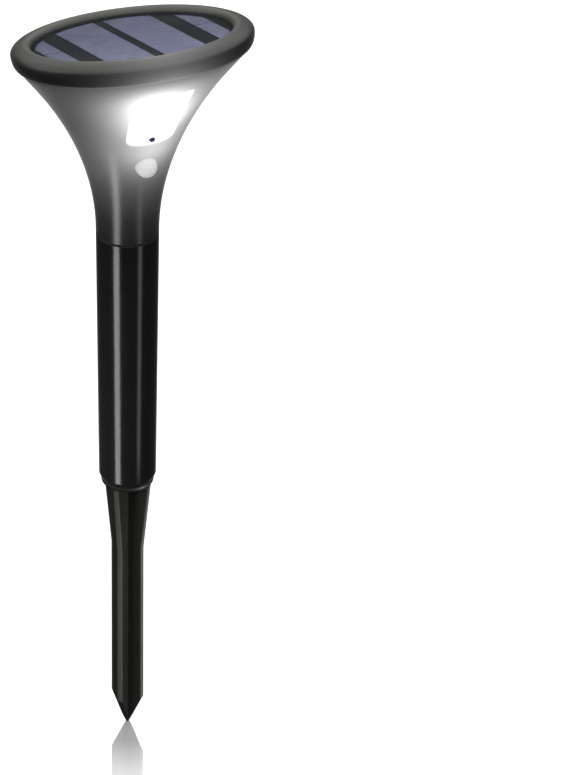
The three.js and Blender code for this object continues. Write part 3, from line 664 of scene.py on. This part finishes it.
dome = {
    "below": 15.5, "radius": 5.3, "rise": 5.8, "wall": 0.8, "flange": 6.5, "flangeThick": 0.9,
    "flangeSeat": 3.9, "groove": 0.2, "grooveReach": 0.16,
    "facetRings": ((0, 1.35, 1), (1.35, 2.9, 6), (2.9, 4.3, 10), (4.3, 5.3, 14)),  # from, to, facets
}
eye = {"rise": 3.5, "radius": 1.5, "length": 6, "proud": 1, "bulge": 1.1}
button = {
    "height": 30, "radius": 4.6, "proud": 1.2, "thick": 7, "flange": 6, "flangeThick": 1, "stem": 1.6,
    "dimple": 3.4, "dimpleDepth": 0.35,
}
domeFrame = hornFrame(windowFoot - dome["below"], -1)
eyeFrame = hornFrame(windowFoot + eye["rise"], -1)
buttonFace = hornStation(button["height"], 1)[0]
buttonFrame = Matrix.Translation(buttonFace) @ Matrix.Rotation(-pi / 2, 4, "X")


def disc(radius, low, high, place, steps=64):
    return turned([(0, low), (radius, low), (radius, high), (0, high)], steps, place)


def makeHorn():
    rim, edge = hornHeight, horn["edge"]
    tongueOuter = horn["rimRadius"] - ring["wall"] - gap
    tongueInner, tongueTop = tongueOuter - horn["tongueThick"], rim + horn["tongueRise"]
    spigot, bore, foot = horn["spigotRadius"], horn["spigotBore"], -horn["spigotLength"]
    inner = [p for p in flare(horn["wall"], horn["innerRows"]) if p[1] > horn["shelf"] + 0.5]
    outer = flare(0, horn["rows"])
    profile = [
        (spigot - 0.6, foot), (spigot, foot + 0.8), (spigot, 0), (neckRadius - edge, 0), (neckRadius, edge),
        *outer[1:-1], (horn["rimRadius"] - edge, rim), (tongueOuter, rim), (tongueOuter, tongueTop),
        (tongueInner, tongueTop), (tongueInner, rim - 1), *inner[::-1][1:],
        (neckRadius - horn["wall"], horn["shelf"]), (bore, horn["shelf"]), (bore, foot),
    ]
    wall = leaned(turned(profile, horn["turns"]), smokeHorn)
    holes = [
        windowPrism(0), disc(dome["radius"] + gap, -8, 8, domeFrame),
        disc(button["radius"] + gap, -12, 12, buttonFrame),
    ]
    shell = combined(wall, *holes)
    finished(shell, "hornShell", "head", "smoke_plastic", smokeHorn, ("head_shell",), sharpAngle=32)
    layer = [*flare(0, horn["rows"]), *flare(window["thick"], horn["innerRows"])[::-1]]
    skin = leaned(turned(layer, horn["turns"]), litLens)
    plug = combined(skin, windowPrism(-gap), operation="INTERSECT")
    plug = combined(plug, disc(eye["radius"] + gap, -10, 6, eyeFrame, 40))
    finished(plug, "windowLens", "head", "clear_plastic", litLens, ("window_lens",), sharpAngle=32)


makeHorn()
print("horn and window made")


# the ring and the panel under it, whose levels hang from the ring's crest
panel = {"top": -2.4, "cover": 1, "cell": 0.3, "board": 1.2, "edge": 1.6, "fillet": 0.2}
panelRadius = horn["rimRadius"] - ring["lipInset"] - gap
cellRadius = panelRadius - panel["edge"]
cellTop = panel["top"] - panel["cover"] - gap
boardTop = cellTop - panel["cell"] - gap


def makeRing():
    rim, quarter = horn["rimRadius"], pi / 2
    crest, lip = rim - ring["crestInset"], rim - ring["lipInset"]
    drop, wall = ring["outerDrop"], ring["wall"]
    under = ring["height"] - drop
    floorTop = boardTop - panel["board"] - gap
    floorBottom = floorTop - ring["floor"]
    wallOuter = lip + wall
    outside = [
        *arc((crest, -ring["lipDrop"]), (crest - lip, ring["lipDrop"]), 2 * quarter, quarter, 14),
        *arc((crest, -drop), (ringRadius - crest, drop), quarter, 0, 22)[1:],
        *arc((rim, -drop), (ringRadius - rim, under), 0, -quarter, 22)[1:],
    ]
    insideFoot, crown = rim - wall, wallOuter + 1
    inside = [
        (insideFoot, -ring["height"]),
        *arc((insideFoot, -drop), (ring["overhang"], under - wall), -quarter, 0, 10),
        *arc((crown, -drop), (ringRadius - wall - crown, drop - wall), 0, quarter, 10)[1:],
        (wallOuter, -wall - 0.6),
    ]
    dish = [(wallOuter, floorBottom), (0, floorBottom), (0, floorTop), (lip, floorTop)]
    body = turned([*outside, *inside, *dish], ring["turns"], lidFrame)
    finished(body, "topRing", "head", "black_gloss", blackRing, ("top_cover",), sharpAngle=35)


makeRing()

cells = {
    "gap": 5, "width": 22.1, "sideStart": 34.4, "sideEnd": 43.5, "sideSplit": 5, "split": 0.9,
    "line": 0.16, "lineThick": 0.04, "linePitch": 1.7, "lineInset": 0.3,
}


def cellOutline(xLow, xHigh, yLow, yHigh):
    steps = 40
    across = [xLow + (min(xHigh, cellRadius) - xLow) * i / steps for i in range(steps + 1)]
    reach = [sqrt(cellRadius**2 - x * x) for x in across]
    front = [(x, max(yLow, -r)) for x, r in zip(across, reach)]
    back = [(x, min(yHigh, r)) for x, r in zip(across, reach)]
    return front + back[::-1]


def cellLines():
    # a cell's printed contact lines: thin bars at an even pitch, cut short by the round panel
    sizes = ("Start", "End", "Low", "High", "Pitch", "Radius", "Width", "Thickness", "Top")
    group, tree, given, values = newGroup("cellLines", sizes)
    start, end, low, high, pitch, radius, width, thick, top = values
    count = tree.sum("FLOOR", (high - low) / pitch)
    row = tree.node("GeometryNodeMeshLine", {"mode": "OFFSET"}, {"Count": count, "Offset": (0, 0, 0)})
    level = low + pitch * (tree.node("GeometryNodeInputIndex") + 0.5)
    reach = tree.sum("SQRT", tree.sum("MAXIMUM", radius * radius - level * level, 0.0))
    left = tree.sum("MAXIMUM", start, cells["lineInset"] - reach)
    right = tree.sum("MINIMUM", end, reach - cells["lineInset"])
    middle = tree.node("ShaderNodeCombineXYZ", None, ((left + right) / 2.0, level, top))
    spots = tree.node("GeometryNodeSetPosition", None, {"Geometry": row, "Position": middle})
    size = tree.node("ShaderNodeCombineXYZ", None, (right - left, width, thick))
    longEnough = tree.node("FunctionNodeCompare", {"operation": "GREATER_THAN"}, (right - left, 1.0))
    bar = tree.node("GeometryNodeMeshCube", None, {"Size": (1, 1, 1)})
    sockets = {"Points": spots, "Selection": longEnough, "Instance": bar, "Scale": size}
    bars = tree.node("GeometryNodeInstanceOnPoints", None, sockets)
    endGroup(tree, given, bars)
    return group


def roundPlate(low, high):
    fillet = panel["fillet"]
    corners = [(0, low, 0), (panelRadius, low, fillet), (panelRadius, high, fillet), (0, high, 0)]
    return turned(filleted(corners), 160, lidFrame)


def makePanel():
    sheet = roundPlate(panel["top"] - panel["cover"], panel["top"])
    finished(sheet, "panelSheet", "head", "panel_clear", clearSheet, ("panel_cover",))
    board = roundPlate(boardTop - panel["board"], boardTop)
    finished(board, "panelBoard", "head", "panel_board", backing, ("panel_backing",))
    start, end = cells["gap"] / 2, cells["gap"] / 2 + cells["width"]
    sideStart, sideEnd = cells["sideStart"], cells["sideEnd"]
    front, rear = cells["sideSplit"] - cells["split"] / 2, cells["sideSplit"] + cells["split"] / 2
    far = 60  # past the round panel's edge, which cuts the cells
    plan = {
        "solar_cell_left": (-end, -start, -far, far), "solar_cell_right": (start, end, -far, far),
        "side_cell_left_front": (-sideEnd, -sideStart, -far, front),
        "side_cell_left_back": (-sideEnd, -sideStart, rear, far),
        "side_cell_right_front": (sideStart, sideEnd, -far, front),
        "side_cell_right_back": (sideStart, sideEnd, rear, far),
    }
    lines, inset = cellLines(), cells["lineInset"]
    for node, (xLow, xHigh, yLow, yHigh) in plan.items():
        words = node.split("_")
        name = words[0] + "".join(word.capitalize() for word in words[1:])
        slab = extruded(cellOutline(xLow, xHigh, yLow, yHigh), cellTop - panel["cell"], cellTop, lidFrame)
        finished(slab, name, "head", "solar_cell", silicon, (node,))
        bars = shapedBy(asObject(bmesh.new(), "bars"), lines, {
            "Start": xLow + inset, "End": xHigh - inset, "Low": max(yLow, -cellRadius) + 0.2,
            "High": min(yHigh, cellRadius) - 0.2, "Pitch": cells["linePitch"], "Radius": cellRadius,
            "Width": cells["line"], "Thickness": cells["lineThick"], "Top": cellTop, "Finish": silverPaste,
        })
        bars.transform(lidFrame)
        finished(bars, name + "Lines", "head", "solar_cell", silverPaste)


makePanel()
print("ring and panel made")


# the pole, the neck seal and the spike
pole = {"taper": 1.2, "wall": 1.8, "chamfer": 2.6, "sealWidth": 1.3}


def makePole():
    low, high = lowest("pole_tube").z, highest("pole_tube").z
    foot = neckRadius - pole["taper"]
    corners = [
        (foot - 1.3, low, 0.4), (foot - 0.05, low + pole["chamfer"], 1.6), (neckRadius, high, 0.35),
        (neckRadius - pole["wall"], high, 0.3), (foot - pole["wall"], low, 0.3),
    ]
    tube = turned(filleted(corners), 192)
    finished(tube, "poleTube", "pole", "black_gloss", blackPole, ("pole_tube",))
    low, high = lowest("neck_seal").z, highest("neck_seal").z
    outer = highest("neck_seal").x
    inner = outer - pole["sealWidth"]
    section = [(inner, low, 0), (outer, low, 0.15), (outer, high, 0.15), (inner, high, 0)]
    seal = turned(filleted(section), 160)
    finished(seal, "neckSeal", "neck_ring", "rubber_black", softRubber, ("neck_seal",))


makePole()

spike = {
    "point": 18, "flare": 40, "finRadius": 8.6, "finTop": 12.8, "finThick": 2.4, "turn": radians(40),
    "collarRadius": 13.2, "collarThick": 2, "spigotLength": 22, "spigotWall": 2, "spigotFloor": 1.5,
    "tipReach": 0.62, "tipThick": 1, "edge": 0.28,
}


def finLoft():
    # a plus-shaped section carried from the tip to the collar
    bm = bmesh.new()
    half, reach = spike["finThick"] / 2, spike["finRadius"]
    stations = [  # height, how far the blades reach, half their thickness
        (soleHeight, spike["tipReach"], spike["tipThick"] / 2), (soleHeight + 4, 2.45, half * 0.9),
        (soleHeight + spike["point"], reach, half), (-spike["flare"], reach, half),
        (0.6, spike["finTop"], half),
    ]
    rows = []
    for level, reach, thick in stations:
        arm = [(thick, thick), (reach, thick), (reach, -thick)]
        row = []
        for blade in range(4):
            c, s = cos(blade * pi / 2), sin(blade * pi / 2)
            row += [bm.verts.new((x * c + y * s, y * c - x * s, level)) for x, y in arm]
        rows.append(row)
    count = len(rows[0])
    for low, high in zip(rows, rows[1:]):
        for i in range(count):
            j = (i + 1) % count
            bm.faces.new((low[i], low[j], high[j], high[i]))
    bm.faces.new(rows[0][::-1])
    bm.faces.new(rows[-1])
    return facingOut(bm, Matrix.Rotation(spike["turn"], 4, "Z"))


def makeSpike():
    spigot = neckRadius - pole["taper"] - pole["wall"] - gap
    thick, top = spike["collarThick"], spike["collarThick"] + spike["spigotLength"]
    outer, inner = spike["collarRadius"], spigot - spike["spigotWall"]
    floor = thick + spike["spigotFloor"]
    corners = [
        (0, 0, 0), (outer, 0, 0.5), (outer, thick, 0.6), (spigot, thick, 0.2),
        (spigot, top, 0.9), (inner, top, 0.3), (inner, floor, 0.3), (0, floor, 0),
    ]
    collar = turned(filleted(corners, 4), 128)
    body = combined(finLoft(), collar, operation="UNION")
    look = (spikeBlack, ("ground_spike",))
    finished(body, "groundSpike", "spike", "spike_plastic", *look, sharpAngle=42, bevel=spike["edge"])


makeSpike()
print("pole and spike made")


# the sensors and the button
def makeDome():
    # a shallow dome pressed into rings of small lens facets
    radius, rise = dome["radius"], dome["rise"]
    back, front = -dome["flangeSeat"] - dome["flangeThick"], -dome["flangeSeat"]
    outer = arc((0, 0), (radius, rise), 0, pi / 2, 44)[:-1]
    inner = arc((0, 0), (radius - dome["wall"], rise - dome["wall"]), pi / 2, 0, 16)[1:]
    profile = [(dome["flange"], back), (dome["flange"], front), (radius, front), *outer, (0, rise),
               (0, rise - dome["wall"]), *inner, (radius - dome["wall"], back)]
    bm = turned(profile, 120)
    rings, groove, reach = dome["facetRings"], dome["groove"], dome["grooveReach"]
    for vert in bm.verts:
        away, angle = hypot(vert.co.x, vert.co.y), atan2(vert.co.y, vert.co.x)
        outerFace = vert.co.z > 0.02 and abs((away / radius) ** 2 + (vert.co.z / rise) ** 2 - 1) < 1e-3
        if not outerFace:
            continue
        edges = [abs(away - limit) for _, limit, _ in rings[:-1]]
        for low, high, count in rings:
            if low <= away < high and count > 1:
                edges.append(away * abs(sin(count * angle / 2)) * 2 / count)
        vert.co *= 1 - groove / radius * exp(-((min(edges) / reach) ** 2))
    bm.transform(domeFrame)
    finished(bm, "motionDome", "head", "milky_plastic", milkyDome, ("pir_dome",), sharpAngle=60)


def makeEye():
    radius, proud = eye["radius"], eye["proud"]
    tip = arc((0, proud - eye["bulge"]), (radius, eye["bulge"]), 0, pi / 2, 12)[:-1]
    bead = turned([(0, -eye["length"]), (radius, -eye["length"]), *tip, (0, proud)], 48, eyeFrame)
    finished(bead, "lightEye", "head", "sensor_blue", eyeBlue, ("light_sensor",))


def makeButton():
    radius, proud, flange = button["radius"], button["proud"], button["flange"]
    seat = proud - button["thick"]
    back = seat - button["flangeThick"]
    stemEnd = lowest("mode_button").y - buttonFace.y
    wide, deep = button["dimple"], button["dimpleDepth"]
    dimple = [(r, proud - deep * (1 - (r / wide) ** 2)) for r in (2.8, 2.1, 1.4, 0.7)]
    corners = [
        (0, stemEnd, 0), (button["stem"], stemEnd, 0.2), (button["stem"], back, 0.2), (flange, back, 0.2),
        (flange, seat, 0.2), (radius, seat, 0.2), (radius, proud, 0.6), (wide, proud, 0.2),
    ]
    cap = turned(filleted(corners) + dimple + [(0, proud - deep)], 96, buttonFrame)
    finished(cap, "modeButton", "button", "rubber_black", softRubber, ("mode_button",))


makeDome()
makeEye()
makeButton()
print("sensors and button made")


# finishes for the pieces inside, which keep their own shapes
insideLooks = {
    "black_gloss": {"colour": (0.012, 0.012, 0.013), "lighter": (0.018, 0.018, 0.019), "roughness": 0.35,
                    "grain": 900, "depth": 0.00003},
    "rubber_black": {"colour": (0.009, 0.009, 0.009), "lighter": (0.014, 0.014, 0.014), "roughness": 0.8,
                     "grain": 2500, "depth": 0.00005},
    "screw_steel": {"colour": (0.5, 0.5, 0.51), "lighter": (0.62, 0.62, 0.63), "roughness": 0.32,
                    "metal": 1, "grain": 2200, "depth": 0.00002, "wear": 0.2},
    "tin_plate": {"colour": (0.55, 0.55, 0.53), "lighter": (0.66, 0.66, 0.64), "roughness": 0.28,
                  "metal": 1, "grain": 1800, "depth": 0.00001, "wear": 0.15},
    "circuit_green": {"colour": (0.008, 0.06, 0.026), "lighter": (0.014, 0.085, 0.04), "roughness": 0.42,
                      "grain": 1600, "depth": 0.00004},
    "white_plastic": {"colour": (0.84, 0.84, 0.82), "lighter": (0.92, 0.92, 0.9), "roughness": 0.3,
                      "grain": 1200, "depth": 0.00002},
    "white_board": {"colour": (0.8, 0.8, 0.78), "lighter": (0.88, 0.88, 0.86), "roughness": 0.5,
                    "grain": 1500, "depth": 0.00003},
    "led_white": {"colour": (0.9, 0.9, 0.85), "lighter": (0.95, 0.95, 0.9), "roughness": 0.3, "grain": 2000,
                  "depth": 0.00002, "glow": {"spots": [(ledCentre, 0.05, 1.2)]}},
    "milky_plastic": {"colour": (0.6, 0.61, 0.62), "lighter": (0.7, 0.71, 0.72), "roughness": 0.4,
                      "grain": 1500, "depth": 0.00003},
    "battery_wrap": {"colour": (0.03, 0.11, 0.33), "lighter": (0.04, 0.14, 0.38), "roughness": 0.3,
                     "grain": 800, "depth": 0.00002},
    "chip_black": {"colour": (0.018, 0.018, 0.02), "lighter": (0.026, 0.026, 0.028), "roughness": 0.6,
                   "grain": 3000, "depth": 0.00003},
    "wire_red": {"colour": (0.32, 0.01, 0.01), "lighter": (0.4, 0.02, 0.02), "roughness": 0.35,
                 "grain": 1800, "depth": 0.00002},
    "wire_black": {"colour": (0.01, 0.01, 0.01), "lighter": (0.016, 0.016, 0.016), "roughness": 0.35,
                   "grain": 1800, "depth": 0.00002},
}


def dressInside():
    finishes = {slot: moulded("inside_" + slot, look) for slot, look in insideLooks.items()}
    slots = {part["node"]: part["material_slot"] for part in frame["record"]["subparts"]}
    for name, node in frame["nodes"].items():
        if node.hide_render:
            continue
        node.data.materials.clear()
        node.data.materials.append(finishes[slots[name]])
        node.data.update()


dressInside()
print("inside pieces finished")


# floor, light and camera
floorLook = {
    "colour": (0.93, 0.93, 0.93), "glow": 0.33, "size": 30, "mirrorSpan": 0.1,
    "mirror": [(0, 0.72), (0.18, 0.72), (0.32, 0.6), (0.45, 0.48), (1, 0.3)],  # along its span
}


def makeFloor():
    bm = bmesh.new()
    bmesh.ops.create_grid(bm, x_segments=8, y_segments=8, size=floorLook["size"])
    bmesh.ops.translate(bm, vec=(0, 0, soleHeight * mm), verts=bm.verts)
    floor = asObject(bm, "floor")
    material, tree = newFinish("paleFloor")
    pale = tree.node("ShaderNodeBsdfPrincipled", None, {
        "Base Color": opaque(floorLook["colour"]), "Roughness": 0.6, "Emission Color": (1, 1, 1, 1),
        "Emission Strength": floorLook["glow"],
    })
    mirror = tree.node("ShaderNodeBsdfGlossy", None, {"Color": (1, 1, 1, 1), "Roughness": 0.03})
    along = axisDistance(tree, objectPlace(tree)) / floorLook["mirrorSpan"]
    share = tree.node("ShaderNodeValToRGB", {"stops": floorLook["mirror"]}, (along,))
    output(tree, tree.node("ShaderNodeMixShader", None, (share, pale, mirror)))
    floor.data.materials.append(material)
    floor.visible_glossy = floor.visible_diffuse = floor.visible_shadow = False
    floor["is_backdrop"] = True


sky = {"low": 0.06, "wall": 0.85, "wallRise": (0.015, 0.2), "zenith": 0.8, "ground": 0.6,
       "groundWay": (0.317, 0.782, -0.537)}  # a pale patch of ground that the horn and ring mirror


def makeSky():
    world = bpy.data.worlds.new("studio")
    world.use_nodes = True
    world.node_tree.nodes.clear()
    tree = Tree(world.node_tree)
    direction = tree.node("ShaderNodeTexCoord").output("Generated")
    up = tree.node("ShaderNodeSeparateXYZ", None, (direction,)).output("Z")
    high = tree.sum("MAXIMUM", up, 0.0)
    wall = tree.mapped(up, sky["wallRise"], (0, 1), {"interpolation_type": "SMOOTHSTEP"})
    under = tree.vector("DOT_PRODUCT", (direction, sky["groundWay"]), "Value")
    ground = tree.sum("MAXIMUM", under, 0.0) ** 16.0
    level = sky["low"] + sky["wall"] * wall + sky["zenith"] * (high * high) + sky["ground"] * ground
    seen = tree.node("ShaderNodeLightPath").output("Is Camera Ray")
    shade = level * (1 - seen) + seen  # plain white behind the lamp
    light = tree.node("ShaderNodeBackground", None, {"Color": (1, 1, 1, 1), "Strength": shade})
    tree.node("ShaderNodeOutputWorld", None, {"Surface": light})
    bpy.context.scene.world = world


def softbox(name, azimuth, distance, height, width, tall, brightness, aim=None):
    lamp = bpy.data.lights.new(name, "AREA")
    lamp.shape = "RECTANGLE"
    lamp.size, lamp.size_y = width, tall
    lamp.energy = brightness * pi * width * tall
    made = bpy.data.objects.new(name, lamp)
    bpy.context.scene.collection.objects.link(made)
    turn = radians(azimuth)
    made.location = (sin(turn) * distance, -cos(turn) * distance, height)
    target = Vector((0, 0, height if aim is None else aim))
    made.rotation_mode = "QUATERNION"
    made.rotation_quaternion = (target - made.location).to_track_quat("-Z", "Y")
    made.visible_camera = False
    return made


def collected(name, pieces):
    group = bpy.data.collections.new(name)
    for piece in pieces:
        group.objects.link(piece)
    return group


def makeLights():
    # each light reaches only the pieces in its collection
    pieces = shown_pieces()
    spikePiece, ringPiece = bpy.data.objects["groundSpike"], bpy.data.objects["topRing"]
    lampOnly = collected("lampOnly", pieces)
    spikeOnly = collected("spikeOnly", [spikePiece])
    ringOnly = collected("ringOnly", [ringPiece])
    upper = [piece for piece in pieces if piece not in (spikePiece, ringPiece)]
    upperOnly = collected("upperOnly", upper)
    strips = {
        softbox("leftStrip", -60, 0.17, -0.03, 0.058, 0.23, 9): upperOnly,
        softbox("rightStrip", 22, 0.24, -0.035, 0.055, 0.24, 2.2): upperOnly,
        softbox("farLeft", -110, 0.6, 0.3, 0.5, 0.5, 0.6, 0.1): lampOnly,
        softbox("spikeLeft", -78, 0.13, -0.15, 0.05, 0.2, 0.5): spikeOnly,
        softbox("spikeRight", 40, 0.3, -0.05, 0.1, 0.25, 11): spikeOnly,
    }
    for strip, receivers in strips.items():
        strip.light_linking.receiver_collection = receivers
    # over the panel, along its normal
    overhead = softbox("overhead", 180, 0.28, 1.2, 0.3, 0.3, 190, 0.25)
    overhead.visible_glossy = False
    overhead.light_linking.receiver_collection = ringOnly


camera = {"azimuth": -22.05, "elevation": 32.5, "distance": 3.0255, "lens": 282.888, "sensor": 36,
          "height": 0.0685, "aside": 0.077505, "below": 0.012172}


def makeCamera():
    turn, lift = radians(camera["azimuth"]), radians(camera["elevation"])
    back = Vector((sin(turn) * cos(lift), -cos(turn) * cos(lift), sin(lift)))
    right = Vector((cos(turn), sin(turn), 0))
    up = back.cross(right)
    middle = Vector((0, 0, camera["height"]))
    place = middle + back * camera["distance"]
    aim = middle + right * camera["aside"] - up * camera["below"]  # the lamp stands left of the middle
    back = (place - aim).normalized()
    right = (right - right.dot(back) * back).normalized()
    up = back.cross(right)
    data = bpy.data.cameras.new("camera")
    data.sensor_width, data.lens = camera["sensor"], camera["lens"]
    data.clip_start, data.clip_end = 0.1, 100
    made = bpy.data.objects.new("camera", data)
    made.matrix_world = Matrix.Translation(place) @ Matrix((right, up, back)).transposed().to_4x4()
    bpy.context.scene.collection.objects.link(made)
    bpy.context.scene.camera = made


makeFloor()
makeSky()
makeLights()
makeCamera()
bpy.context.scene.view_settings.view_transform = "Standard"
print("studio made")
